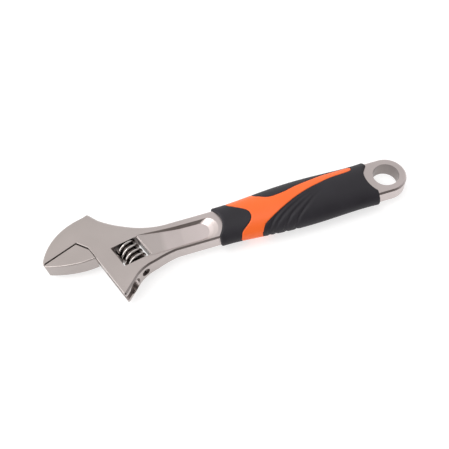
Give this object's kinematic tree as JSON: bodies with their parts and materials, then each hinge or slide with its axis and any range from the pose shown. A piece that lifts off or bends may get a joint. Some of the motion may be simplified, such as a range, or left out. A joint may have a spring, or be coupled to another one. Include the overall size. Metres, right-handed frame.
{
  "type": "adjustable wrench",
  "caption": "Adjustable wrench with angled head, sliding lower jaw driven by a worm knurl, hanging hole and two-colour moulded grip.",
  "frame": {"origin": "centre of the hanging hole, midway between the two faces", "axes": "+X along the handle and out of its free end, +Z along the hanging hole and square to the faces, +Y towards the fixed jaw's side; jaws closed"},
  "size_m": [0.2553, 0.0694, 0.0221],
  "materials": {
    "plated_steel": "satin nickel-chrome plate over a forging",
    "worm_steel": "bright turned steel",
    "spring_steel": "drawn wire",
    "orange_plastic": "moulded, satin",
    "black_plastic": "moulded, fine texture",
    "black_rubber": "soft moulding, ribbed, fine texture"
  },
  "bodies": {
    "frame": {"body_forging": "plated_steel", "worm_pin": "worm_steel", "worm_spring": "spring_steel", "grip_hard_core": "orange_plastic", "grip_front_collar": "black_plastic", "grip_soft_overmould": "black_rubber"},
    "worm": {"worm_knurl": "worm_steel"},
    "jaw": {"movable_jaw": "plated_steel"}
  },
  "joints": [
    {"name": "worm_spin", "type": "hinge", "parent": "frame", "child": "worm", "pos_m": [-0.18257, -0.00317, 0], "axis": [-0.3827, 0.9239, 0], "range_deg": [0, 2520]},
    {"name": "jaw_slide", "type": "slide", "parent": "frame", "child": "jaw", "axis": [0.3827, -0.9239, 0], "range_m": [0, 0.0294]}
  ],
  "couplings": [
    {"joint": "jaw_slide", "follows": "worm_spin", "m_per_rad": 0.00066845}
  ]
}
